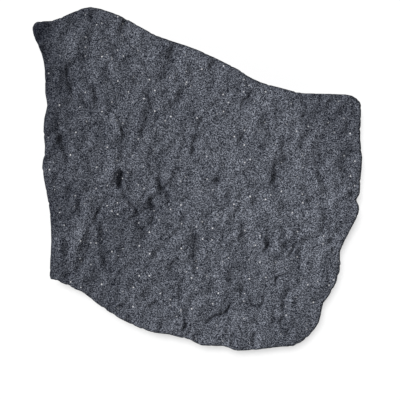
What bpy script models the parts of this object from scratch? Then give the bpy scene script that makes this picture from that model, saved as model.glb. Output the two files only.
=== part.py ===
"""A low aquarium cave of slate-look cast resin flagstones, in metres, +Z up.

Three stacks of flagstones stand on a base slab and carry a large roof slab. The courses of each
stack are bonded with silicone pads, and the roof only rests on the stacks, where three pins
locate it, so it lifts straight off. The front, with the wide mouth, faces -Y. The origin is the
middle of the object's box, on the surface that the rubber feet stand on.
"""

import math

import bmesh
import bpy
from mathutils import Vector

MM = 0.001

# Heights, from the surface under the feet upwards.
GAP = 0.3 * MM  # between pieces that touch
FOOT_HEIGHT = 3.0 * MM
FOOT_STAND = 1.8 * MM  # how far a foot stands out below the base slab
BASE_THICKNESS = 10.0 * MM
BOND_THICKNESS = 0.8 * MM  # a silicone pad between two courses
COURSES_THICKNESS = 36.0 * MM  # the stones of one stack, without the pads
COURSE_COUNT = 4
ROOF_THICKNESS = 13.0 * MM
BASE_LOW = FOOT_STAND
BASE_TOP = BASE_LOW + BASE_THICKNESS
SEAM = BOND_THICKNESS + 2 * GAP  # from stone to stone, or from base to stone
STACK_TOP = BASE_TOP + COURSES_THICKNESS + COURSE_COUNT * SEAM
ROOF_LOW = STACK_TOP + GAP

# Rubber feet, and the pins that locate the roof.
FOOT_RADIUS = 6.0 * MM
FOOT_PLACES = {
    "foot_front_left": (-62 * MM, -44 * MM),
    "foot_front_right": (50 * MM, -74 * MM),
    "foot_rear_right": (68 * MM, 16 * MM),
    "foot_rear_left": (-58 * MM, 54 * MM),
}
PIN_RADIUS = 2.5 * MM
PIN_STAND = 5.0 * MM  # above the stack, into the roof
PIN_HOLE_DEPTH = 5.5 * MM
SOCKET_CLEARANCE = 0.7 * MM  # all round a pin, so that the roof lifts off by hand
SOCKET_DEPTH = 6.0 * MM

# The roof slab's outline, counter-clockwise from the horn at its rear left corner.
ROOF_OUTLINE_MM = (
    # left edge, rear to front
    (-100, 90.5), (-98.5, 85), (-94.5, 76), (-92.5, 66), (-92.3, 52), (-91, 44.5), (-92.8, 37),
    (-93.3, 28), (-92.5, 20), (-92.9, 14), (-94.1, 7), (-91.8, -7), (-89.5, -20), (-88.7, -38),
    (-89.5, -58.5),
    # front edge, left to right
    (-87, -61), (-77.5, -65), (-75, -66.8), (-70, -68.3), (-61, -75.5), (-48, -84.2),
    (-34.7, -90.5), (-25, -93.4), (-17, -94.3), (-11.2, -96.1), (-4.5, -97.4), (2.5, -101),
    (16, -101.4), (20.5, -103.1), (25.2, -104.2), (36.6, -103.5), (51.2, -101.7),
    (58.2, -101.3), (64, -98.2),
    # right edge, front to rear
    (68.8, -94), (73.6, -87), (75.4, -79.6), (76.6, -75.2), (79.6, -71.2), (84.6, -62),
    (87, -52), (86.5, -44), (92.2, -32.2), (97.5, -21.5), (98, -16.3), (96.4, -12.9),
    (98.5, -9), (98.9, -1.3), (100, 12.6), (98.8, 24), (99.4, 41), (98.7, 46.6),
    # rear edge, right to left
    (95.6, 49.4), (90, 51.2), (70, 51.8), (62.8, 52.2), (51.2, 55.1), (38.8, 58.5), (29.5, 63),
    (25.6, 65.9), (7.8, 74.9), (-7.6, 81.2), (-25.4, 87.1), (-41.7, 96.4), (-52.5, 101.1),
    (-64.5, 104.2), (-74.2, 101.6), (-82.7, 97.7), (-90, 95.7), (-97.4, 95.2), (-99.5, 92.8),
)
ROOF_SPAN_STEPS = 2  # points to each span of the outline

# How a slab's edge is rounded: (set in from the outline, height as a share of the thickness).
ROOF_EDGE = (
    (4.0 * MM, 0.0), (1.4 * MM, 0.1), (0.4 * MM, 0.32), (0.0, 0.6), (0.5 * MM, 0.78),
    (1.7 * MM, 0.88), (4.2 * MM, 0.93),
)
STONE_EDGE = (
    (2.2 * MM, 0.0), (0.7 * MM, 0.14), (0.0, 0.45), (0.3 * MM, 0.75), (0.9 * MM, 0.9),
    (2.4 * MM, 1.0),
)
ROOF_TOP_RINGS = (0.86, 0.7, 0.54, 0.38, 0.22)  # shares of the way out from the middle
SWELL_HEIGHT = 0.9 * MM  # of the roof's upper face, over its rim

# The base slab follows the roof's outline at a distance, out of sight from above.
BASE_SETBACK = 10.0 * MM
BASE_REACH = 98.0 * MM  # furthest that it goes from the middle
BASE_WANDER = 0.012

# Each stack: its middle, length, width, and bearing from +X in degrees, then its stones'
# thicknesses from the lowest course up, which add up to COURSES_THICKNESS.
WALLS = {
    "left_wall": ((-64 * MM, -5 * MM), 98 * MM, 31 * MM, 91, (10.5, 8.0, 9.5, 8.0)),
    "right_wall": ((60 * MM, -25 * MM), 88 * MM, 31 * MM, 84, (8.5, 10.0, 8.0, 9.5)),
    "rear_wall": ((5 * MM, 46 * MM), 74 * MM, 28 * MM, -21, (9.5, 8.5, 10.0, 8.0)),
}
STONE_SIDES = 36
STONE_BOXINESS = 3.2  # 2 is an ellipse, and more is squarer
STONE_WANDER = 0.035
STONE_SHIFT = 1.2 * MM  # how far a course may sit off its stack's middle
BOND_INSET = 6.0 * MM  # from the stone's edge to the pad's
BOND_SIDES = 20

# Colours as linear red, green and blue, then roughness.
SLATE_RESIN = ("slate_resin", (0.075, 0.083, 0.102), 0.85)
SILICONE = ("silicone", (0.10, 0.105, 0.11), 0.35)
RUBBER = ("rubber", (0.015, 0.015, 0.016), 0.7)
PIN_ACRYLIC = ("pin_acrylic", (0.02, 0.021, 0.023), 0.3)


def material(name, colour, roughness):
    """The named material, made the first time that it is asked for."""
    found = bpy.data.materials.get(name)
    if found:
        return found
    made = bpy.data.materials.new(name)
    made.use_nodes = True
    shader = made.node_tree.nodes["Principled BSDF"]
    shader.inputs["Base Color"].default_value = (*colour, 1)
    shader.inputs["Roughness"].default_value = roughness
    shader.inputs["Metallic"].default_value = 0
    return made


def smooth_outline(points, steps):
    """A closed Catmull-Rom curve through the points, with the same number of steps to each span."""
    corners = [Vector(p) for p in points]
    count = len(corners)
    curve = []
    for i in range(count):
        before, start, end, after = (corners[(i + k) % count] for k in (-1, 0, 1, 2))
        for step in range(steps):
            t = step / steps
            curve.append(
                0.5 * (
                    2 * start
                    + (end - before) * t
                    + (2 * before - 5 * start + 4 * end - after) * t ** 2
                    + (3 * start - before - 3 * end + after) * t ** 3
                )
            )
    return curve


def wander(angle, seed):
    """A share between about -1 and 1 that goes smoothly round, different for each seed."""
    waves = ((2, 0.35), (3, 0.3), (5, 0.2), (8, 0.15))
    return sum(size * math.cos(n * angle + 2.4 * seed * n + n) for n, size in waves)


def stone_outline(length, width, seed, sides):
    """A long rounded stone: a superellipse along X whose radius wanders."""
    outline = []
    for i in range(sides):
        angle = 2 * math.pi * i / sides
        ahead = abs(math.cos(angle) / (length / 2)) ** STONE_BOXINESS
        across = abs(math.sin(angle) / (width / 2)) ** STONE_BOXINESS
        radius = (ahead + across) ** (-1 / STONE_BOXINESS)
        radius *= 1 + STONE_WANDER * wander(angle, seed)
        outline.append(Vector((radius * math.cos(angle), radius * math.sin(angle))))
    return outline


def inset(outline, distance):
    """The outline drawn in towards its middle by a distance."""
    return [p - p.normalized() * distance for p in outline]


def loft(name, rings, crown=None):
    """A closed solid through rings of (x, y, z), lowest first, with a flat foot. It has a flat
    top, or one that runs to a crown point."""
    mesh = bpy.data.meshes.new(name)
    form = bmesh.new()
    layers = [[form.verts.new(p) for p in ring] for ring in rings]
    count = len(layers[0])
    for low, high in zip(layers, layers[1:]):
        for i in range(count):
            j = (i + 1) % count
            form.faces.new((low[i], low[j], high[j], high[i]))
    form.faces.new(reversed(layers[0]))
    if crown is None:
        form.faces.new(layers[-1])
    else:
        tip = form.verts.new(crown)
        for i in range(count):
            form.faces.new((layers[-1][i], layers[-1][(i + 1) % count], tip))
    form.to_mesh(mesh)
    form.free()
    return mesh


def add_object(name, mesh, finish, location, bearing=0.0, parent=None):
    """A mesh placed as a named piece, smooth except at its sharp edges."""
    obj = bpy.data.objects.new(name, mesh)
    bpy.context.scene.collection.objects.link(obj)
    mesh.materials.append(material(*finish))
    mesh.shade_smooth()
    mesh.set_sharp_from_angle(angle=math.radians(40))
    obj.location = location
    obj.rotation_euler.z = bearing
    obj.parent = parent
    return obj


def add_empty(name, location):
    """A place that pieces are parented to."""
    empty = bpy.data.objects.new(name, None)
    bpy.context.scene.collection.objects.link(empty)
    empty.location = location
    return empty


def turned(name, profile, sides):
    """A closed turned mesh about Z from (radius, height) points, lowest first."""
    rings = [
        [
            (r * math.cos(2 * math.pi * i / sides), r * math.sin(2 * math.pi * i / sides), z)
            for i in range(sides)
        ]
        for r, z in profile
    ]
    return loft(name, rings)


def cut_round_hole(obj, name, x, y, low, high, radius, parent=None):
    """Cuts an upright round hole from obj, between two heights in obj's parent's space."""
    mesh = turned(name, ((radius, 0), (radius, high - low)), 28)
    cutter = bpy.data.objects.new(name, mesh)
    bpy.context.scene.collection.objects.link(cutter)
    cutter.location = (x, y, low)
    cutter.parent = parent
    cutter.hide_render = True
    cutter.display_type = "WIRE"
    modifier = obj.modifiers.new(name, "BOOLEAN")
    modifier.operation = "DIFFERENCE"
    modifier.solver = "EXACT"
    modifier.object = cutter


def swell(x, y):
    """Height of the roof's upper face over its rim, as a share of SWELL_HEIGHT."""
    wave = math.sin(31 * x + 12 * y + 0.6) + 0.7 * math.sin(-19 * x + 43 * y + 2.1)
    return 0.5 + 0.28 * wave


def roof_slab(outline, parent):
    """The roof: rough rim, gently swelling upper face, flat underside with a socket to each pin."""
    rings = [
        [(p.x, p.y, share * ROOF_THICKNESS) for p in inset(outline, distance)]
        for distance, share in ROOF_EDGE
    ]
    rim_inset, rim_share = ROOF_EDGE[-1]
    rim_height = rim_share * ROOF_THICKNESS
    # The swell starts inside the rim and is full at the first inner ring.
    for share in ROOF_TOP_RINGS:
        rings.append(
            [
                (share * p.x, share * p.y, rim_height + SWELL_HEIGHT * swell(share * p.x, share * p.y))
                for p in inset(outline, rim_inset)
            ]
        )
    crown = (0, 0, rim_height + SWELL_HEIGHT * swell(0, 0))
    roof = add_object("roof_slab", loft("roof_slab", rings, crown), SLATE_RESIN, (0, 0, 0), parent=parent)
    for name, ((x, y), *_) in WALLS.items():
        cut_round_hole(
            roof, f"cut_socket_{name}", x, y, -GAP, SOCKET_DEPTH, PIN_RADIUS + SOCKET_CLEARANCE, parent
        )


def base_slab(roof_outline, parent):
    """The base: the roof's outline drawn in, with a round recess under it for each foot."""
    outline = []
    for p in roof_outline[:: ROOF_SPAN_STEPS]:
        angle = math.atan2(p.y, p.x)
        reach = min(p.length - BASE_SETBACK, BASE_REACH)
        outline.append(p.normalized() * reach * (1 + BASE_WANDER * wander(angle, 7)))
    rings = [
        [(p.x, p.y, share * BASE_THICKNESS) for p in inset(outline, distance)]
        for distance, share in STONE_EDGE
    ]
    base = add_object("base_slab", loft("base_slab", rings), SLATE_RESIN, (0, 0, BASE_LOW), parent=parent)
    recess_top = FOOT_HEIGHT + GAP
    for name, (x, y) in FOOT_PLACES.items():
        cut_round_hole(base, f"cut_{name}", x, y, 0, recess_top, FOOT_RADIUS + GAP, parent)


def add_foot(name, x, y, parent):
    """A rubber foot: a low turned stud with its lower edge rounded."""
    edge = 0.8 * MM
    profile = (
        (FOOT_RADIUS - edge, 0),
        (FOOT_RADIUS - 0.3 * edge, 0.3 * edge),
        (FOOT_RADIUS, edge),
        (FOOT_RADIUS, FOOT_HEIGHT),
    )
    add_object(name, turned(name, profile, 32), RUBBER, (x, y, 0), parent=parent)


def add_bond(name, length, width, seed, location, bearing, parent):
    """A silicone pad pressed flat between two stones, set in from their edges."""
    outline = stone_outline(length - 2 * BOND_INSET, width - 2 * BOND_INSET, seed, BOND_SIDES)
    bulge = 0.4 * MM
    rings = [
        [(p.x, p.y, share * BOND_THICKNESS) for p in inset(outline, distance)]
        for distance, share in ((bulge, 0), (0, 0.5), (bulge, 1))
    ]
    add_object(name, loft(name, rings), SILICONE, location, bearing, parent)


def add_stack(wall, number, parent):
    """One wall: four bonded flagstones, and the pin that stands in the top one."""
    (x, y), length, width, degrees, thicknesses = WALLS[wall]
    bearing = math.radians(degrees)
    height = BASE_TOP
    for course, thickness in enumerate(thicknesses, start=1):
        seed = 10 * number + course
        # Courses differ a little in size and place, as broken flagstones do.
        long = length * (1 - 0.03 * ((course + number) % 3))
        wide = width * (1 - 0.04 * ((course + 2 * number) % 3))
        turn = 2.4 * seed
        centre_x = x + STONE_SHIFT * math.cos(turn)
        centre_y = y + STONE_SHIFT * math.sin(turn)
        place = (centre_x, centre_y, height + GAP)
        add_bond(f"{wall}_bond_{course}", length, width, seed, place, bearing, parent)
        height += SEAM
        outline = stone_outline(long, wide, seed, STONE_SIDES)
        rings = [
            [(p.x, p.y, share * thickness * MM) for p in inset(outline, distance)]
            for distance, share in STONE_EDGE
        ]
        name = f"{wall}_course_{course}"
        stone = add_object(
            name, loft(name, rings), SLATE_RESIN, (centre_x, centre_y, height), bearing, parent
        )
        height += thickness * MM
    floor = height - PIN_HOLE_DEPTH
    cut_round_hole(stone, f"cut_pin_{wall}", x, y, floor, height + GAP, PIN_RADIUS + GAP, parent)
    edge = 0.5 * MM
    top = PIN_HOLE_DEPTH - GAP + PIN_STAND
    profile = ((PIN_RADIUS - edge, 0), (PIN_RADIUS, edge), (PIN_RADIUS, top - edge), (PIN_RADIUS - edge, top))
    pin = f"{wall}_pin"
    add_object(pin, turned(pin, profile, 24), PIN_ACRYLIC, (x, y, floor + GAP), parent=parent)


def main():
    for obj in list(bpy.data.objects):
        bpy.data.objects.remove(obj)
    body = add_empty("cave_body", (0, 0, 0))
    roof_lift = add_empty("roof_lift", (0, 0, ROOF_LOW))
    outline = smooth_outline([(x * MM, y * MM) for x, y in ROOF_OUTLINE_MM], ROOF_SPAN_STEPS)
    base_slab(outline, body)
    for name, (x, y) in FOOT_PLACES.items():
        add_foot(name, x, y, body)
    for number, wall in enumerate(WALLS):
        add_stack(wall, number, body)
    roof_slab(outline, roof_lift)


main()
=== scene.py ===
"""The looks of a low aquarium cave of stacked slate-look resin stones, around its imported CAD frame.

Each resin stone is built again as a fine mesh in its CAD node's place: the roof slab from its
outline and a height for every point of its cleft upper face, and the others from their CAD shape,
split into thin layers at the sides. The silicone, pins and feet keep their CAD meshes.
"""

import math

import bmesh
import bpy
import numpy as np
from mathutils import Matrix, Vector


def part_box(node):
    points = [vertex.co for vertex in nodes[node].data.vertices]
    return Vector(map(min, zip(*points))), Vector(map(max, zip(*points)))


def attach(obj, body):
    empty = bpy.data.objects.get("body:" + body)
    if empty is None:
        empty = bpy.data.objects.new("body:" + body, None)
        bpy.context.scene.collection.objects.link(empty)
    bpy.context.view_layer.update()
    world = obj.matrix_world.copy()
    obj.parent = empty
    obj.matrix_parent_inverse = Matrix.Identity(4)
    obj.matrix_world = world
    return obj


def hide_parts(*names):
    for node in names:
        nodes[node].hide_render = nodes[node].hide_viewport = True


MM = 0.001

# The roof's rim, from the outline inwards. It is worn rounder towards the front and the right.
RIM_WIDTH = (0.9 * MM, 2.2 * MM)
RIM_DROP = (0.6 * MM, 1.2 * MM)

# The clefts and lumps of every upper face are drawn out on this bearing, in degrees from +X.
GRAIN_BEARING = 70

# Heights of the three scales of unevenness of a cleft face, and the sizes of their noise's cells.
# Clefts and lumps have one size along the bearing and one across it.
BROAD_HEIGHT = 0.9 * MM
BROAD_CELL = 55 * MM
CLEFT_HEIGHT = 1.2 * MM
CLEFT_CELLS = (17 * MM, 14 * MM)
LUMP_HEIGHT = 1.3 * MM
LUMP_CELLS = (7.6 * MM, 6.6 * MM)

# Flake scars of the roof's upper face, in mm. Each is the line of a steep step down to the right,
# then its depth, the width of the step and the width of the slope that climbs back.
SCARS = (
    # left edge and horn
    (((-65.5, 101), (-64.5, 95)), 1.1, 3.0, 7),
    (((-80, 69), (-79, 60), (-76, 48)), 1.2, 2.2, 7),
    (((-85, 26), (-82, 18), (-79, 9)), 2.1, 4.2, 8),
    (((-75, -9), (-73, -14), (-72, -22)), 1.8, 3.8, 8),
    (((-66, -41), (-69, -47), (-74, -56)), 1.0, 2.0, 6),
    (((-63, 55), (-61, 47)), 1.2, 2.4, 6),
    # upper left
    (((-44, 98), (-48, 88)), 1.9, 3.4, 8),
    (((-14, 84), (-19, 71), (-23, 59)), 2.5, 4.4, 10),
    (((10, 73), (3, 63)), 1.2, 2.6, 8),
    (((30, 58), (30, 50), (26, 44)), 1.5, 2.6, 9),
    (((-11, 53), (-17, 45)), 1.7, 4.8, 8),
    (((-33, 54), (-30, 49), (-28, 43)), 0.9, 1.8, 6),
    (((-31, 38), (-33, 32), (-34, 28)), 1.1, 2.0, 7),
    (((-42, 24), (-45, 19)), 1.0, 1.6, 6),
    (((-3, 26), (-4, 15)), 1.9, 3.2, 7),
    # middle left
    (((-50, -8), (-56, -12), (-61, -20), (-63, -26)), 1.2, 2.0, 6),
    (((-30, -13), (-27, -18), (-25, -22)), 1.8, 3.6, 8),
    (((-31, -31), (-37, -40)), 0.9, 3.2, 8),
    (((-59, -28), (-59, -42), (-56, -56)), 1.4, 3.6, 9),
    (((-2, -35), (-2, -41), (-4, -48)), 2.2, 4.4, 9),
    (((-12, -47), (-18, -54)), 1.3, 2.8, 7),
    # right
    (((55, 15), (47, 8), (45, -6)), 2.5, 3.8, 11),
    (((62, 52), (64, 45)), 1.6, 2.2, 6),
    (((64, 40), (62, 22)), 0.7, 2.2, 9),
    (((34, -10), (33, -18)), 0.9, 2.4, 6),
    (((27, 29), (26, 22), (27, 15)), 1.0, 2.8, 7),
    (((27, -26), (27, -40)), 0.8, 2.4, 7),
    (((73, 14), (77, 8)), 1.5, 2.4, 6),
    (((91, 34), (89, 27)), 1.1, 2.6, 6),
    (((42, -30), (42, -44)), 1.6, 3.0, 8),
    # lower
    (((29, -62), (26, -71)), 1.3, 2.6, 7),
    (((51, -70), (51, -79), (50, -87)), 0.8, 2.4, 6),
    (((-21, -66), (-22, -71)), 1.3, 2.6, 6),
    (((-25, -73), (-29, -77)), 1.6, 2.6, 6),
    (((-11, -63), (-12, -76)), 1.4, 2.6, 6),
    (((34, -93), (33, -102)), 1.9, 2.8, 6),
    (((21, -94), (20, -102)), 1.9, 2.2, 5),
    (((-53, -73), (-55, -80)), 0.9, 1.8, 6),
)
# Narrow cracks: the line, then depth and half width.
CRACKS = (
    (((61, -37), (58, -43), (55, -48)), 1.5, 0.7),
    (((21, -74), (19, -79), (16, -82), (11, -83.5), (6, -86.5)), 1.7, 0.8),
    (((57, -57), (50, -59), (47.5, -61), (48, -65)), 1.5, 0.7),
    (((41, -69), (40, -75), (38, -77.5), (32, -77)), 1.6, 0.7),
    (((-8, -84), (-6.5, -88), (-9, -93)), 1.6, 0.9),
    (((25, -88), (28, -96)), 1.1, 0.6),
    (((-45, -9), (-42, -13), (-38, -17), (-35, -22)), 1.7, 0.8),
    (((-24, 1), (-21.5, -4), (-18, -9), (-16.5, -14)), 1.6, 1.4),
    (((-45, 5), (-46, 0), (-47, -6)), 3.0, 1.8),
    (((43.5, -38), (42, -42), (40, -46)), 1.4, 1.1),
    (((-48, -19), (-43, -24)), 0.9, 0.6),
    (((-23, 38), (-28, 30)), 1.0, 0.7),
    (((-35, -30), (-30, -30)), 1.2, 0.8),
    (((-26, -22), (-28, -28)), 1.4, 0.9),
)
# Pits: the middle, then depth and radius.
PITS = (
    ((-21, -5.5), 1.4, 2.4),
    ((-28, -18), 1.6, 2.4),
    ((-36, -27), 1.7, 1.6),
    ((63.5, 19.5), 1.8, 2.0),
    ((53.5, -40.5), 2.5, 2.2),
    ((49.5, -86), 1.5, 2.4),
    ((8, -87), 1.0, 1.8),
    ((-28, -76.5), 0.9, 1.8),
    ((12.5, -1), 1.4, 2.2),
    ((13, 36), 1.0, 1.6),
    ((76, -30.5), 1.6, 1.6),
    ((94, -9), 1.2, 1.6),
    ((83, -43), 1.0, 1.6),
    ((7, -31), 1.0, 2.4),
    ((17, -33), 0.7, 2.4),
    ((19, -55), 0.7, 4.0),
    ((-79, -59), 2.3, 2.6),
    ((-86, 92), 1.2, 3.0),
    ((-77, -7), 1.2, 4.0),
    ((-9, -23), 0.8, 3.5),
)
# Low ridges with painted highlights on them: the line, then height and half width.
RIDGES = (
    (((-51, 40), (-49, 33), (-46, 25)), 2.0, 1.2),
    (((-69, 37), (-66, 29)), 0.9, 1.2),
    (((-76, -54), (-71, -38), (-68, -26), (-65, -10)), 1.3, 3.2),
    (((-9, 71), (-8, 62)), 1.2, 3.6),
    (((-27, 74), (-27, 62)), 0.7, 2.6),
    (((-76, 88), (-76, 72)), 1.1, 3.6),
    (((-76, 14), (-75, 7)), 0.9, 2.2),
    (((53, 6), (52, -5)), 1.0, 4.0),
    (((44, -16), (52, -26), (60, -35)), 1.2, 1.2),
    (((-25, 54), (-22, 50)), 0.8, 3.0),
    (((-27, -2), (-24, -10)), 0.9, 2.2),
    (((-52, 6), (-52, -2)), 1.1, 2.4),
    (((-40, -75), (-32, -72)), 1.6, 2.4),
    (((-63, 84), (-60, 92)), 1.0, 2.6),
    (((62, 30), (64, 26)), 0.8, 2.0),
    (((87, 46), (87, 41)), 0.9, 3.0),
    (((64, -12), (67, -18)), 0.8, 3.2),
    (((16, -26), (19, -19)), 0.9, 3.0),
    (((72, -22), (78, -24)), 0.8, 1.4),
)
# Where the colour is darker, or with a share below 0 paler: broad darker areas, painted shade in some
# hollows and painted highlights on some ridges. Each is the middle, the share and the radius.
TONE_AND_LIGHT_PATCHES = (
    ((-99, 88), 0.5, 8),
    ((-96, 96), 0.3, 14),
    ((-96, 66), 0.5, 21),
    ((-92, 30), 0.36, 18),
    ((-86, -18), 0.3, 15),
    ((-88, -48), 0.2, 12),
    ((-76, -8), 0.2, 6),
    ((-70, 97), 0.3, 8),
    ((-58, 32), 0.14, 9),
    ((-45, -30), 0.2, 14),
    ((-58, -44), 0.2, 8),
    ((-56, -66), 0.16, 14),
    ((-15, 46), 0.1, 9),
    ((-76, 80), -0.2, 7),
    ((20, -54), 0.1, 10),
    ((82, 42), 0.3, 20),
    ((90, 14), 0.2, 18),
    ((56, -88), 0.18, 14),
    ((-65, -16), -0.16, 5),
    ((-69, -30), -0.16, 5),
    ((58, -16), -0.09, 42),
    ((-50, 37), -0.2, 4),
    ((-48, 31), -0.2, 4),
    ((-68, 33), -0.18, 5),
    ((-70, -35), -0.2, 5),
    ((-74, -43), -0.18, 4),
    ((-34, -70), -0.18, 6),
    ((17, -25), -0.2, 4),
    ((41, 36), -0.16, 5),
    ((-18, 8), 0.14, 6),
    ((44, 4), 0.14, 4),
)
# The depth that scars, cracks and pits are really cut to, as a share of what their tables say.
MARK_SHARE = 0.85

# The lowest and highest that the roof's relief goes, from its middle level.
RELIEF_LIMITS = (-3 * MM, 1.7 * MM)

# How much painted shade each kind of mark gets, per step of its depth or height, the step being set on
# the next line. Below 0 it is a painted highlight instead.
SHADE_DEPTH = 2 * MM
SCAR_SHADE = 0.4
CRACK_SHADE = 1.7
PIT_SHADE = 0.7
RIDGE_SHADE = -0.5
LUMP_SHADE = 0.2  # and how much painted shade the ground between the lumps gets, at most

LEFT_DARKENING = 0.24  # the share by which the colour is darker at the left edge than from the middle on

LAYER = 2.4 * MM  # thickness of a split layer at a slab's sides

# Room round a pin in the roof, and round a pin or foot where it is glued in.
SOCKET_CLEARANCE = 0.7 * MM
SNUG = 0.2 * MM

# The viewpoint: straight above, a little in front of the middle.
CAMERA_PLACE = Vector((1.6 * MM, -12.8 * MM, 1411.5 * MM))
CAMERA_LENS = 200  # mm, on a 36 mm sensor

# Light: strengths in W/m2 for the suns, and how far off the vertical and on which bearing they are.
SURROUND_STRENGTH = 0.28
KEY = {"strength": 3.6, "angle": 12, "tilt": 50, "bearing": 159}
OVERHEAD = {"strength": 4.6, "angle": 8, "tilt": 5, "bearing": 122}
FLOOR_GLOW = 0.25
FLOOR_WHITE = 0.45
FLOOR_SIZE = 6.0  # m
WHITE = (1, 1, 1, 1)

# The slate-look resin: its two paint colours, the colour of its pale grains, and the spacing of
# its sand and of those grains.
SLATE_COLOURS = ((0.087, 0.093, 0.108), (0.089, 0.094, 0.107))
GRAIN_COLOUR = (0.62, 0.62, 0.64)
SAND_SPACING = 0.5 * MM
GRAIN_SPACING = 3.2 * MM

# Whole numbers that turn a noise cell's place and a seed into values that look random.
CELL_MIXERS = (73856093, 19349663, 83492791)
SEED_MIXER = 40503
VALUE_MIXERS = (2246822519, 3266489917, 668265263)
LAST_MIXER = 1274126177
LOW_BITS = 0x7FFFFFFF  # the 31 bits that are kept


def hashed(cells, seed):
    """Three repeatable values between -1 and 1 for each row of whole numbers."""
    mixed = (cells * CELL_MIXERS).sum(axis=1) + seed * SEED_MIXER
    values = []
    for step in VALUE_MIXERS:
        bits = (mixed ^ (mixed >> 15)) * step & LOW_BITS
        bits = (bits ^ (bits >> 13)) * LAST_MIXER & LOW_BITS
        values.append(bits / (LOW_BITS // 2) - 1)
    return np.stack(values, axis=1)


def noise(points, seed):
    """Smooth noise between about -1 and 1, at points counted in cells."""
    base = np.floor(points).astype(np.int64)
    part = points - base
    ease = part ** 3 * (part * (part * 6 - 15) + 10)
    total = np.zeros(len(points))
    for corner in np.ndindex(2, 2, 2):
        weight = np.where(corner, ease, 1 - ease).prod(axis=1)
        total += weight * ((part - corner) * hashed(base + corner, seed)).sum(axis=1)
    return 1.6 * total


def fractal(points, seed, octaves=3, gain=0.5):
    """Noise with finer layers added, each of half the size and a share of the height."""
    total = np.zeros(len(points))
    for octave in range(octaves):
        total += gain ** octave * noise(points * 2 ** octave, seed + octave)
    return total


def ease_between(low, high, value):
    """0 below low, 1 above high, and a smooth climb between."""
    share = np.clip((value - low) / (high - low), 0, 1)
    return share * share * (3 - 2 * share)


def terraced(value, steps, softness):
    """The value in level steps with slopes between them that take up a share of each step."""
    scaled = value * steps
    whole = np.floor(scaled)
    return (whole + ease_between(0.5 - softness / 2, 0.5 + softness / 2, scaled - whole)) / steps


def flat_points(x, y, level=0.0):
    """Columns x and y with a constant third column."""
    return np.column_stack((x, y, np.full(len(x), level)))


def along_line(x, y, line):
    """For each point: its distance to the right of a line of points, which is negative to the
    left, its distance to the line, and how far along the line it is, from 0 to 1."""
    corners = np.array(line) * MM
    runs = np.diff(corners, axis=0)
    lengths = np.linalg.norm(runs, axis=1)
    starts = np.concatenate(([0], np.cumsum(lengths)[:-1]))
    nearest = np.full(len(x), np.inf)
    side = np.zeros(len(x))
    share = np.zeros(len(x))
    for corner, run, length, start in zip(corners, runs, lengths, starts):
        ahead = run / length
        right = np.array((-ahead[1], ahead[0]))
        if right[0] < 0:
            right = -right
        off_x = x - corner[0]
        off_y = y - corner[1]
        reach = off_x * ahead[0] + off_y * ahead[1]
        held = np.clip(reach, 0, length)
        distance = np.hypot(off_x - held * ahead[0], off_y - held * ahead[1])
        across = off_x * right[0] + off_y * right[1]
        closer = distance < nearest
        nearest = np.where(closer, distance, nearest)
        side = np.where(closer, across, side)
        share = np.where(closer, (start + reach) / lengths.sum(), share)
    return side, nearest, share


def near(x, y, line, margin):
    """Which points lie in a line's box, widened by a margin."""
    corners = np.array(line) * MM
    low = corners.min(axis=0) - margin
    high = corners.max(axis=0) + margin
    return (x > low[0]) & (x < high[0]) & (y > low[1]) & (y < high[1])


def scar_depth(x, y, line, depth, step, slope):
    """Depth below the face of a flake scar: a steep step on its left and a slope on its right."""
    found = np.zeros(len(x))
    inside = near(x, y, line, (step + slope) * MM)
    wander = 0.7 * MM * noise(flat_points(x[inside], y[inside]) / (5 * MM), 31)
    side, _, share = along_line(x[inside], y[inside], line)
    side = side / MM + wander / MM
    drop = ease_between(-step / 2, step / 2, side)
    climb = 1 - ease_between(step / 2, slope, side)
    ends = ease_between(-0.18, 0.15, share) * (1 - ease_between(0.85, 1.18, share))
    found[inside] = depth * MM * drop * climb * ends
    return found


def crack_depth(x, y, line, depth, half_width):
    """Depth below the face of a narrow crack, or with a ridge's numbers its height over it."""
    found = np.zeros(len(x))
    inside = near(x, y, line, 3 * half_width * MM)
    wander = 0.35 * noise(flat_points(x[inside], y[inside]) / (4 * MM), 32)
    side, _, share = along_line(x[inside], y[inside], line)
    ends = ease_between(-0.1, 0.2, share) * (1 - ease_between(0.8, 1.1, share))
    found[inside] = depth * MM * np.exp(-((side / MM + wander) / half_width) ** 2) * ends
    return found


def pit_depth(x, y, middle, depth, radius):
    """Depth below the face of a round pit with an uneven edge."""
    uneven = 1 + 0.2 * noise(flat_points(x, y) / (3.5 * MM), 33)
    away = np.hypot(x - middle[0] * MM, y - middle[1] * MM) / (radius * MM)
    return depth * MM * np.exp(-((away * uneven) ** 2))


def cleft_relief(x, y, seed):
    """The split face of a slate, at points in metres: its height over its middle level, and its
    finer lumps from -1 to 1."""
    bearing = math.radians(GRAIN_BEARING)
    along = x * math.cos(bearing) + y * math.sin(bearing)
    across = -x * math.sin(bearing) + y * math.cos(bearing)
    bend = 4 * MM * noise(flat_points(x, y) / (18 * MM), seed + 3)
    warp = 2.2 * MM * noise(flat_points(x, y) / (7 * MM), seed + 21)
    broad = fractal(flat_points(x, y) / BROAD_CELL, seed + 5, 2)
    cleft_place = flat_points(along / CLEFT_CELLS[0], (across + bend) / CLEFT_CELLS[1])
    cleft = terraced(fractal(cleft_place, seed + 8, 2), 3.0, 0.7)
    lumps_place = flat_points((along + warp) / LUMP_CELLS[0], (across + bend) / LUMP_CELLS[1])
    lumps = fractal(lumps_place, seed + 13, 3, 0.2)
    height = BROAD_HEIGHT * broad + CLEFT_HEIGHT * cleft + LUMP_HEIGHT * lumps
    return height, lumps


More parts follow.
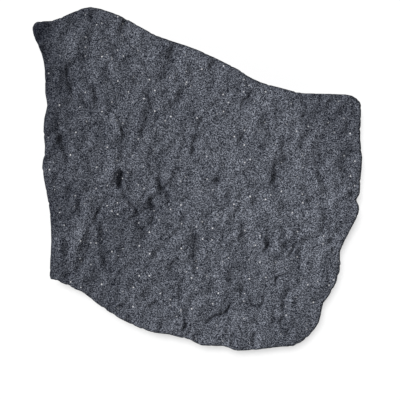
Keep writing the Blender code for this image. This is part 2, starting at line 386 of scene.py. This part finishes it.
def layered(places, z, seed):
    """How far split layers are set back from a slab's edge, from 0 to 1, at points on its sides."""
    wander = 0.5 * MM * noise(flat_points(*places.T) / (14 * MM), seed)
    level = (z + wander) / LAYER
    index = np.floor(level)
    here = noise(np.column_stack((places / (13 * MM), 7.3 * index)), seed + 1)
    above = noise(np.column_stack((places / (13 * MM), 7.3 * (index + 1))), seed + 1)
    step = ease_between(0.7, 1, level - index)
    groove = 0.5 * np.exp(-(((level - index - 0.8) / 0.16) ** 2))
    return np.clip(0.35 + 0.9 * (here + (above - here) * step) + groove, 0, 1)


def roof_relief(x, y):
    """The roof's upper face: its height over its middle level, and how much painted shade each point gets
    in a hollow, up to 1, or painted highlight on a ridge, down to -0.5."""
    height, lumps = cleft_relief(x, y, 0)
    scars = sum(scar_depth(x, y, *scar) for scar in SCARS)
    cracks = sum(crack_depth(x, y, *crack) for crack in CRACKS)
    pits = sum(pit_depth(x, y, *pit) for pit in PITS)
    ridges = sum(crack_depth(x, y, *ridge) for ridge in RIDGES)
    height += ridges - MARK_SHARE * (scars + cracks + pits)
    # Painted shade in scars, cracks, pits and between the lumps; painted highlights on the ridges.
    painted_shade = SCAR_SHADE * scars + CRACK_SHADE * cracks + PIT_SHADE * pits + RIDGE_SHADE * ridges
    painted_shade = painted_shade / SHADE_DEPTH + LUMP_SHADE * ease_between(-0.1, -1, lumps)
    return np.clip(height, *RELIEF_LIMITS), np.clip(painted_shade, -0.5, 1)


def tone_and_painted_light(x, y):
    """The share by which the roof's colour is darker than over most of its face, towards the left and in
    patches; some patches are painted shade, and those below 0 painted highlights.
    """
    kept = 1 - LEFT_DARKENING * (1 - ease_between(-100 * MM, 30 * MM, x))
    uneven = 1 + 0.35 * fractal(flat_points(x, y) / (13 * MM), 41, 2)
    for middle, share, radius in TONE_AND_LIGHT_PATCHES:
        away = np.hypot(x - middle[0] * MM, y - middle[1] * MM) / (radius * MM)
        kept = kept * (1 - share * np.exp(-((away * uneven) ** 2)))
    return 1 - kept


def stitch(low, high):
    """Triangles that join two closed rings of vertex numbers, whose counts may differ. A ring may
    be a single point."""
    faces = []
    i = j = 0
    while i < len(low) or j < len(high):
        here = low[i % len(low)]
        there = high[j % len(high)]
        if (i + 1) * len(high) <= (j + 1) * len(low):
            i += 1
            if len(low) > 1:
                faces.append((here, low[i % len(low)], there))
        else:
            j += 1
            if len(high) > 1:
                faces.append((here, high[j % len(high)], there))
    return faces


class Outline:
    """The outline of a slab's CAD node, as a closed curve round its middle."""

    def __init__(self, node):
        places = np.array([v.co for v in nodes[node].data.vertices])
        self.low = places[:, 2].min()
        self.high = places[:, 2].max()
        # The widest of the CAD slab's level rings is its outline.
        levels = np.round(places[:, 2] / (0.05 * MM))
        rings = [places[levels == level][:, :2] for level in np.unique(levels)]
        ring = max(rings, key=lambda found: np.ptp(found[:, 0]) + np.ptp(found[:, 1]))
        self.middle = (ring.min(axis=0) + ring.max(axis=0)) / 2
        ring = np.unique(np.round(ring - self.middle, 6), axis=0)
        ring = ring[np.argsort(np.arctan2(ring[:, 1], ring[:, 0]))]
        self.closed = np.vstack((ring, ring[:1]))
        lengths = np.linalg.norm(np.diff(self.closed, axis=0), axis=1)
        self.travel = np.concatenate(([0], np.cumsum(lengths)))

    def ring(self, count):
        """Evenly spaced points on the outline, from its middle."""
        wanted = np.arange(count) / count * self.travel[-1]
        x = np.interp(wanted, self.travel, self.closed[:, 0])
        y = np.interp(wanted, self.travel, self.closed[:, 1])
        return np.column_stack((x, y))


class Slab:
    """A flagstone as one closed mesh of rings: its underside, its sides and its upper face."""

    spacing = 1.0 * MM  # of the points round the outline
    top_rings = 26
    underside_rings = 10
    side_rows = 22
    underside_depth = 0.2 * MM  # of its roughness, upwards
    foot_setback = 1.0 * MM  # of the sides at their lower edge
    foot_share = 0.2  # of the height, up to which the sides are set back
    layer_setback = 2.0 * MM  # of the deepest split layer
    top_depth = 0.0  # from the slab's top to the middle level of its upper face
    wear_depth = 1.3 * MM  # broken off all along the edge, on average
    notch_depth = 2.0 * MM  # broken off besides in its notches, at most
    chip_depth = 0.45 * MM  # of the chips in its sides, on average
    rim_width = 1.0 * MM  # of the rounding at its rim, on average
    rim_drop = 0.7 * MM  # of the same rounding, on average
    relief_share = 0.3  # of a full cleft face's unevenness
    relief_drop = 0.4 * MM  # by which its unevenness is lowered
    relief_depth = 0.9 * MM  # the deepest that its unevenness goes below its top
    paint_share = 0.12  # by which its paint is darker than over most of the roof

    def __init__(self, node, name, seed):
        self.outline = Outline(node)
        self.seed = seed
        self.level = self.outline.high - self.top_depth
        self.points = []
        self.painted_shades = []
        self.rim_shades = []
        self.rings = []
        self.add_underside()
        self.add_sides()
        self.add_top()
        faces = []
        for low, high in zip(self.rings, self.rings[1:]):
            faces += stitch(low, high)
        points = np.vstack(self.points)
        self.piece = mesh_piece(name, points, faces)
        # Painted shade in the hollows and painted highlights on the ridges.
        set_shares(self.piece, "painted_shade", np.concatenate(self.painted_shades))
        # Painted shade along the roof's rim.
        set_shares(self.piece, "rim", np.concatenate(self.rim_shades))
        # Darker colour, with painted shade and highlights in some patches on the roof.
        set_shares(self.piece, "tone_and_painted_light", self.paint(points[:, 0], points[:, 1]))

    def add_ring(self, flat, z, painted_shade=0.0, rim=0.0):
        """One more ring, from points around the middle and their heights and shares."""
        first = sum(len(ring) for ring in self.rings)
        places = flat + self.outline.middle
        self.points.append(np.column_stack((places, np.broadcast_to(z, len(flat)))))
        self.painted_shades.append(np.broadcast_to(painted_shade, len(flat)))
        self.rim_shades.append(np.broadcast_to(rim, len(flat)))
        self.rings.append(range(first, first + len(flat)))

    def rim_count(self):
        """How many points go round the outline."""
        return round(self.outline.travel[-1] / self.spacing)

    def edge(self, count):
        """Points on the slab's own edge, which lies inside the outline where it is broken off."""
        ring = self.outline.ring(count)
        return drawn_in(ring, self.bite(ring + self.outline.middle))

    def bite(self, places):
        """How much is broken off at points on the outline."""
        wide = fractal(flat_points(*places.T) / (17 * MM), self.seed + 41, 3)
        notch = ease_between(0.1, 0.4, noise(flat_points(*places.T) / (9 * MM), self.seed + 45))
        return self.wear_depth * (1 + np.clip(wide, -1, 1)) + self.notch_depth * notch

    def add_underside(self):
        low = self.outline.low
        self.add_ring(np.zeros((1, 2)), low + self.underside_depth / 2)
        for k in range(1, self.underside_rings + 1):
            share = k / self.underside_rings
            rim = self.edge(max(6, round(self.rim_count() * share)))
            inner = share * drawn_in(rim, self.foot_setback + 0.6 * self.layer_setback)
            rough = noise(flat_points(*inner.T) / (4 * MM), self.seed + 51)
            self.add_ring(inner, low + self.underside_depth * (1 + rough) / 2)

    def add_sides(self):
        edge = self.edge(self.rim_count())
        places = edge + self.outline.middle
        _, drop = self.rim(places, edge)
        low = self.outline.low
        relief, _ = self.relief(*places.T)
        rim_top = self.level + np.minimum(relief, 1 * MM) - drop
        for row in range(1, self.side_rows + 1):
            share = row / self.side_rows
            z = low + share * (rim_top - low)
            layers = layered(places, z, self.seed + 61)
            chips = fractal(np.column_stack((places / (3.5 * MM), z / (2.5 * MM))), self.seed + 64)
            broken = self.layer_setback * layers + self.chip_depth * (1 + chips)
            foot = self.foot_setback * (1 - ease_between(0, self.foot_share, share)) ** 1.5
            setback = foot + broken * (share < 1)
            # The split layers are painted darker as shade where they are set back.
            self.add_ring(drawn_in(edge, setback), z, 0.8 * layers, self.side_rim_shade(share))

    def add_top(self):
        for k in range(self.top_rings - 1, 0, -1):
            share = k / self.top_rings
            edge = self.edge(max(6, round(self.rim_count() * share)))
            flat = edge * share
            width, drop = self.rim(edge + self.outline.middle, edge)
            inset = np.linalg.norm(edge, axis=1) * (1 - share)
            lip = np.clip(inset / width, 0, 1)
            rounding = drop * (1 - np.sqrt(1 - (1 - lip) ** 2))
            relief, painted_shade = self.relief(*(flat + self.outline.middle).T)
            self.add_ring(flat, self.level + relief - rounding, painted_shade, self.top_rim_shade(inset, width))
        self.add_ring(np.zeros((1, 2)), self.level)

    def rim(self, places, edge):
        """Width and drop of the rounding at points on the outline."""
        chips = 1 + 0.7 * fractal(flat_points(*places.T) / (8 * MM), self.seed + 71)
        return self.rim_width * chips, self.rim_drop * chips

    def side_rim_shade(self, share):
        """How dark the sides are painted as shade at a share of their height."""
        return 0.0

    def top_rim_shade(self, inset, width):
        """How dark the rim is painted as shade, at a distance from the outline."""
        return 0.0

    def relief(self, x, y):
        """The upper face's height over its middle level, and the painted shade that each point gets
        between the lumps.
        """
        height, lumps = cleft_relief(x, y, self.seed)
        lowered = self.relief_share * height - self.relief_drop
        return np.clip(lowered, -self.relief_depth, 0), 0.5 * ease_between(0, -1, lumps)

    def paint(self, x, y):
        """The share by which the paint is darker than over most of the roof."""
        return np.full(len(x), self.paint_share)


class Base(Slab):
    """The slab that everything stands on."""

    top_rings = 88
    underside_rings = 30


class Roof(Slab):
    """The slab that lies on the stacks, whose face alone is seen from straight above."""

    spacing = 0.78 * MM
    top_rings = 144
    underside_rings = 20
    foot_setback = 2.6 * MM
    foot_share = 0.45
    top_depth = 1.9 * MM

    def bite(self, places):
        return 0.5 * MM * ease_between(0.1, 0.7, noise(flat_points(*places.T) / (3.2 * MM), 46))

    def rim(self, places, edge):
        outward = edge / np.linalg.norm(edge, axis=1, keepdims=True)
        worn = ease_between(-0.5, 0.7, outward @ (0.7, -0.7))
        chips = 1 + 0.45 * fractal(flat_points(*edge.T) / (9 * MM), 71)
        width = (RIM_WIDTH[0] + worn * (RIM_WIDTH[1] - RIM_WIDTH[0])) * chips
        drop = (RIM_DROP[0] + worn * (RIM_DROP[1] - RIM_DROP[0])) * chips
        return width, drop

    def side_rim_shade(self, share):
        # Painted shade: a dark line along the top of the sides.
        return ease_between(0.93, 1, share)

    def top_rim_shade(self, inset, width):
        # Painted shade: a dark line at the very edge and a fainter band inside it, where the rim faces
        # the light; none where it is worn round at the front and right.
        worn = np.clip((width - RIM_WIDTH[0]) / (RIM_WIDTH[1] - RIM_WIDTH[0]), 0, 1)
        line = 1 - ease_between(0.2, 1.4, inset / width)
        shade_band = 0.2 * (1 - ease_between(1.0, 4.5, inset / width))
        return np.maximum(line, shade_band) * (1 - worn)

    def relief(self, x, y):
        return roof_relief(x, y)

    def paint(self, x, y):
        return tone_and_painted_light(x, y)


def drawn_in(edge, distance):
    """Points on an outline round (0, 0), moved towards it by a distance."""
    lengths = np.linalg.norm(edge, axis=1)
    return edge * (1 - distance / lengths)[:, None]


def mesh_piece(name, places, faces):
    """A new smooth-shaded mesh object."""
    mesh = bpy.data.meshes.new(name)
    mesh.from_pydata(places, [], faces)
    mesh.shade_smooth()
    piece = bpy.data.objects.new(name, mesh)
    bpy.context.scene.collection.objects.link(piece)
    return piece


def round_cutter(name, box, clearance):
    """An upright cylinder round a turned CAD node, with a clearance all round."""
    low, high = box
    mesh = bpy.data.meshes.new(name)
    form = bmesh.new()
    radius = (high[0] - low[0]) / 2 + clearance
    depth = high[2] - low[2] + 2 * clearance
    bmesh.ops.create_cone(form, cap_ends=True, segments=48, radius1=radius, radius2=radius, depth=depth)
    form.to_mesh(mesh)
    form.free()
    cutter = bpy.data.objects.new(name, mesh)
    cutter.location = (Vector(low) + Vector(high)) / 2
    bpy.context.scene.collection.objects.link(cutter)
    return cutter


def cut_clear(piece, cut_nodes, clearance):
    """Cuts room in a piece for turned CAD nodes that are let into it."""
    cutters = [round_cutter("cutter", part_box(node), clearance) for node in cut_nodes]
    for cutter in cutters:
        modifier = piece.modifiers.new("cut", "BOOLEAN")
        modifier.operation = "DIFFERENCE"
        modifier.solver = "EXACT"
        modifier.object = cutter
    graph = bpy.context.evaluated_depsgraph_get()
    cut_mesh = bpy.data.meshes.new_from_object(piece.evaluated_get(graph))
    piece.modifiers.clear()
    piece.data = cut_mesh
    for cutter in cutters:
        bpy.data.objects.remove(cutter)


def set_shares(piece, name, values):
    """Stores a share for each vertex, for the material to read."""
    layer = piece.data.attributes.new(name, "FLOAT", "POINT")
    layer.data.foreach_set("value", values.astype(np.float32))


class Shader:
    """A material's node tree, with short ways to add nodes that are already linked."""

    def __init__(self, name, roughness):
        self.material = bpy.data.materials.new(name)
        self.material.use_nodes = True
        self.tree = self.material.node_tree
        self.surface = self.tree.nodes["Principled BSDF"]
        self.surface.inputs["Roughness"].default_value = roughness
        self.place = self.add("ShaderNodeTexCoord").outputs["Object"]

    def add(self, kind, inputs=None, **properties):
        """A node, with properties set and sockets given numbers, colours or links."""
        node = self.tree.nodes.new(kind)
        for name, value in properties.items():
            setattr(node, name, value)
        for socket, value in (inputs or {}).items():
            if isinstance(value, bpy.types.NodeSocket):
                self.tree.links.new(value, node.inputs[socket])
            else:
                node.inputs[socket].default_value = value
        return node

    def noise(self, cell, detail=2.0, roughness=0.5, distortion=0.0, place=None):
        """Noise between 0 and 1 whose cells have this size in metres."""
        inputs = {"Scale": 1 / cell, "Detail": detail, "Roughness": roughness}
        inputs |= {"Distortion": distortion, "Vector": place or self.place}
        return self.add("ShaderNodeTexNoise", inputs).outputs["Fac"]

    def between(self, value, low, high, to_low=0.0, to_high=1.0):
        """The value's stretch from low to high, moved to another stretch and held inside it."""
        inputs = {"Value": value, "From Min": low, "From Max": high}
        inputs |= {"To Min": to_low, "To Max": to_high}
        return self.add("ShaderNodeMapRange", inputs).outputs["Result"]

    def math(self, operation, first, second):
        """Two numbers combined."""
        return self.add("ShaderNodeMath", {0: first, 1: second}, operation=operation).outputs[0]

    def mix(self, share, first, second):
        """Two colours mixed by a share."""
        node = self.add("ShaderNodeMix", {"Factor": share}, data_type="RGBA")
        for socket, value in (("A", first), ("B", second)):
            target = next(i for i in node.inputs if i.name == socket and i.type == "RGBA")
            if isinstance(value, bpy.types.NodeSocket):
                self.tree.links.new(value, target)
            else:
                target.default_value = (*value, 1)
        return next(o for o in node.outputs if o.type == "RGBA")

    def scaled(self, colour, factor, base=(0, 0, 0)):
        """A colour times a number, over a base colour."""
        node = self.add("ShaderNodeVectorMath", {0: colour, 1: factor, 2: base}, operation="MULTIPLY_ADD")
        return node.outputs["Vector"]

    def share(self, name):
        """A share that the mesh stores for each vertex."""
        return self.add("ShaderNodeAttribute", attribute_name=name).outputs["Fac"]

    def bump(self, height, depth, below=None):
        """A normal bent by a height from 0 to 1 that stands for a depth in metres."""
        inputs = {"Height": height, "Strength": 1.0, "Distance": depth}
        if below is not None:
            inputs["Normal"] = below
        return self.add("ShaderNodeBump", inputs).outputs["Normal"]

    def vary_roughness(self, share, low, high):
        """Roughness from low to high where a share goes from 0.3 to 0.7."""
        self.tree.links.new(self.between(share, 0.3, 0.7, low, high), self.surface.inputs["Roughness"])

    def finish(self, colour, normal):
        """Sends a colour and a normal to the surface, and returns the material."""
        self.tree.links.new(colour, self.surface.inputs["Base Color"])
        self.tree.links.new(normal, self.surface.inputs["Normal"])
        return self.material


def slate_material():
    """Dark slate-look cast resin with a gritty surface and scattered pale grains, darker or paler where
    each mesh stores darker colour, painted shade or painted highlights.
    """
    stone = Shader("slate_resin", 0.8)
    stone.surface.inputs["Specular IOR Level"].default_value = 0.08
    grit = stone.noise(1.1 * MM, detail=1, roughness=0.8)
    fine_grit = stone.noise(0.52 * MM, detail=0)
    mottle = stone.noise(14 * MM, detail=3)
    sand = stone.add("ShaderNodeTexVoronoi", {"Vector": stone.place, "Scale": 1 / SAND_SPACING})
    sand_tone = stone.add("ShaderNodeSeparateColor", {0: sand.outputs["Color"]}).outputs[0]
    # Darker colour, with painted shade and highlights in some patches on the roof.
    tone = stone.between(stone.share("tone_and_painted_light"), -0.2, 1, 1.32, 0)
    tone = stone.math("MULTIPLY", tone, stone.between(mottle, 0.3, 0.7, 0.92, 1.08))
    tone = stone.math("MULTIPLY", tone, stone.between(fine_grit, 0.39, 0.61, 0.08, 1.92))
    tone = stone.math("MULTIPLY", tone, stone.between(sand_tone, 0, 1, 0.3, 1.7))
    # Painted shade in the hollows, and painted highlights on the ridges.
    tone = stone.math("MULTIPLY", tone, stone.between(stone.share("painted_shade"), -0.5, 1, 1.28, 0.55))
    # Painted shade along the roof's rim.
    tone = stone.math("MULTIPLY", tone, stone.between(stone.share("rim"), 0, 1, 1.0, 0.3))
    blended = stone.mix(mottle, *SLATE_COLOURS)
    colour = stone.scaled(blended, tone, (0, 0.0015, 0.007))
    grains = stone.add("ShaderNodeTexVoronoi", {"Vector": stone.place, "Scale": 1 / GRAIN_SPACING})
    size = stone.between(grains.outputs["Distance"], 0.12, 0.18, 1, 0)
    picked = stone.add("ShaderNodeSeparateColor", {0: grains.outputs["Color"]}).outputs[0]
    picked = stone.between(picked, 0.65, 0.9)
    picked = stone.math("MULTIPLY", picked, stone.between(stone.share("rim"), 0.3, 0.6, 1, 0))
    colour = stone.mix(stone.math("MULTIPLY", size, picked), colour, GRAIN_COLOUR)
    normal = stone.bump(grit, 0.03 * MM)
    normal = stone.bump(fine_grit, 0.16 * MM, below=normal)
    return stone.finish(colour, normal)


def silicone_material():
    """Grey aquarium silicone, slightly glossy, with smears and dust pressed into it."""
    rubber = Shader("silicone", 0.4)
    smears = rubber.noise(3 * MM, detail=3, roughness=0.6)
    dust = rubber.noise(0.5 * MM, detail=1)
    smeared = rubber.between(smears, 0.3, 0.7, 0.8, 1.2)
    dusty = rubber.between(dust, 0.4, 0.7, 1, 1.5)
    tone = rubber.math("MULTIPLY", smeared, dusty)
    colour = rubber.scaled(rubber.mix(smears, (0.085, 0.088, 0.094), (0.11, 0.113, 0.117)), tone)
    rubber.vary_roughness(smears, 0.3, 0.55)
    return rubber.finish(colour, rubber.bump(smears, 0.1 * MM))


def acrylic_material():
    """Black cast acrylic rod, matt with fine turning marks around it."""
    rod = Shader("pin_acrylic", 0.45)
    height = rod.add("ShaderNodeSeparateXYZ", {0: rod.place}).outputs["Z"]
    turned = rod.add("ShaderNodeTexNoise", {"W": height, "Scale": 1 / (0.25 * MM)}, noise_dimensions="1D")
    scuffs = rod.noise(1.2 * MM, detail=3, roughness=0.7)
    colour = rod.mix(rod.between(scuffs, 0.55, 0.7), (0.018, 0.019, 0.021), (0.045, 0.047, 0.05))
    rod.vary_roughness(scuffs, 0.3, 0.6)
    return rod.finish(colour, rod.bump(turned.outputs["Fac"], 0.05 * MM))


def rubber_material():
    """Moulded black rubber with a faint grain and dust on its wall."""
    foot = Shader("rubber", 0.7)
    grain = foot.noise(0.35 * MM, detail=2)
    dust = foot.noise(2.5 * MM, detail=4, roughness=0.65)
    colour = foot.mix(foot.between(dust, 0.5, 0.75), (0.013, 0.013, 0.014), (0.04, 0.039, 0.038))
    foot.vary_roughness(dust, 0.6, 0.85)
    return foot.finish(colour, foot.bump(grain, 0.06 * MM))


def add_sun(name, strength, angle, tilt, bearing):
    """A sun whose light comes down from a tilt off the vertical, on a bearing from +X."""
    data = bpy.data.lights.new(name, "SUN")
    data.energy = strength
    data.angle = math.radians(angle)
    lamp = bpy.data.objects.new(name, data)
    bpy.context.scene.collection.objects.link(lamp)
    tilt = math.radians(tilt)
    bearing = math.radians(bearing)
    level = math.sin(tilt)
    towards = Vector((level * math.cos(bearing), level * math.sin(bearing), math.cos(tilt)))
    lamp.rotation_mode = "QUATERNION"
    lamp.rotation_quaternion = towards.to_track_quat("Z", "Y")
    return lamp


def add_studio():
    """A white floor, soft white surroundings, two suns and the camera."""
    mesh = bpy.data.meshes.new("floor")
    half = FLOOR_SIZE / 2
    corners = [(-half, -half, 0), (half, -half, 0), (half, half, 0), (-half, half, 0)]
    mesh.from_pydata(corners, [], [(0, 1, 2, 3)])
    floor = bpy.data.objects.new("floor", mesh)
    bpy.context.scene.collection.objects.link(floor)
    paint = bpy.data.materials.new("floor_white")
    paint.use_nodes = True
    shader = paint.node_tree.nodes["Principled BSDF"]
    shader.inputs["Base Color"].default_value = (FLOOR_WHITE, FLOOR_WHITE, FLOOR_WHITE, 1)
    shader.inputs["Roughness"].default_value = 1
    shader.inputs["Emission Color"].default_value = WHITE
    shader.inputs["Emission Strength"].default_value = FLOOR_GLOW
    mesh.materials.append(paint)

    world = bpy.data.worlds.new("studio")
    bpy.context.scene.world = world
    world.use_nodes = True
    tree = world.node_tree
    surround = tree.nodes["Background"]
    surround.inputs["Color"].default_value = WHITE
    surround.inputs["Strength"].default_value = SURROUND_STRENGTH
    backdrop = tree.nodes.new("ShaderNodeBackground")
    backdrop.inputs["Color"].default_value = WHITE
    chosen = tree.nodes.new("ShaderNodeMixShader")
    rays = tree.nodes.new("ShaderNodeLightPath")
    tree.links.new(rays.outputs["Is Camera Ray"], chosen.inputs[0])
    tree.links.new(surround.outputs[0], chosen.inputs[1])
    tree.links.new(backdrop.outputs[0], chosen.inputs[2])
    tree.links.new(chosen.outputs[0], tree.nodes["World Output"].inputs["Surface"])

    key = add_sun("key", **KEY)
    overhead = add_sun("overhead", **OVERHEAD)
    on_floor = bpy.data.collections.new("lit_by_overhead")
    on_floor.objects.link(floor)
    overhead.light_linking.receiver_collection = on_floor
    not_floor = bpy.data.collections.new("not_lit_by_key")
    not_floor.objects.link(floor)
    key.light_linking.receiver_collection = not_floor
    not_floor.collection_objects[0].light_linking.link_state = "EXCLUDE"

    camera = bpy.data.objects.new("camera", bpy.data.cameras.new("camera"))
    bpy.context.scene.collection.objects.link(camera)
    camera.data.lens = CAMERA_LENS
    camera.data.clip_start = 0.01
    camera.location = CAMERA_PLACE
    bpy.context.scene.camera = camera
    bpy.context.scene.view_settings.view_transform = "Standard"


def put_in_place(piece, body, node, finish):
    """Gives a flagstone its material and puts it in its CAD node's place."""
    piece.data.materials.clear()
    piece.data.materials.append(finish)
    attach(piece, body)
    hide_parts(node)


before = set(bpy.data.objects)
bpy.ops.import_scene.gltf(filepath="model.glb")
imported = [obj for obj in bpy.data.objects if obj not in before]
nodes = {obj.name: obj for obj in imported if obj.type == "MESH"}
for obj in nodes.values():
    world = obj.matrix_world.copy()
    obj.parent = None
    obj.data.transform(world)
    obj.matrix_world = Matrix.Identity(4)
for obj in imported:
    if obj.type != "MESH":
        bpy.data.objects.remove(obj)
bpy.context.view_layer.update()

slate = slate_material()
walls = [name[: -len("_pin")] for name in nodes if name.endswith("_pin")]
pins = [f"{wall}_pin" for wall in walls]
feet = [name for name in nodes if name.startswith("foot_")]

roof = Roof("roof_slab", "roof_flagstone", 0).piece
cut_clear(roof, pins, SOCKET_CLEARANCE)
put_in_place(roof, "roof", "roof_slab", slate)

base = Base("base_slab", "base_flagstone", 300).piece
cut_clear(base, feet, SNUG)
put_in_place(base, "base", "base_slab", slate)

for number, wall in enumerate(walls, start=1):
    courses = [name for name in nodes if name.startswith(f"{wall}_course_")]
    for course, node in enumerate(sorted(courses), start=1):
        stone = Slab(node, node.replace("course", "flagstone"), 1000 * number + 100 * course).piece
        if course == len(courses):
            cut_clear(stone, [f"{wall}_pin"], SNUG)
        put_in_place(stone, "base", node, slate)

finishes = {"_bond_": silicone_material(), "_pin": acrylic_material(), "foot_": rubber_material()}
for name, node in nodes.items():
    for part, finish in finishes.items():
        if part in name:
            node.data.materials.clear()
            node.data.materials.append(finish)

add_studio()
